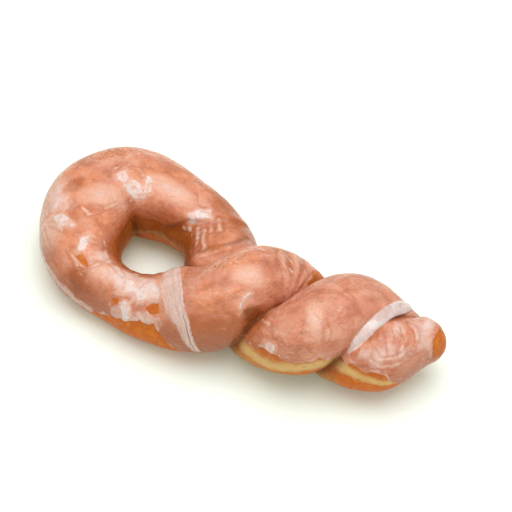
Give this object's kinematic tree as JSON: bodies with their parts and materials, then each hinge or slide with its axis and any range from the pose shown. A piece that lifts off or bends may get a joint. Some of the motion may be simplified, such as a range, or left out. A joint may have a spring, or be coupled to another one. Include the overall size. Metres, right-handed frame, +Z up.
{
  "type": "cruller doughnut",
  "caption": "Glazed yeast doughnut: one rope of dough folded into an open loop, its two arms wound round each other into a tapering twist.",
  "frame": {"origin": "middle of the bounding box, on the surface that the doughnut lies on", "axes": "+X from the open loop to the pinched tip, +Y to the far side of the loop, +Z up"},
  "size_m": [0.195, 0.0924, 0.0435],
  "materials": {
    "glazed_dough": "fried golden-brown dough under a thin, cracked sugar glaze"
  },
  "bodies": {
    "root": {"cruller": "glazed_dough"}
  },
  "joints": []
}
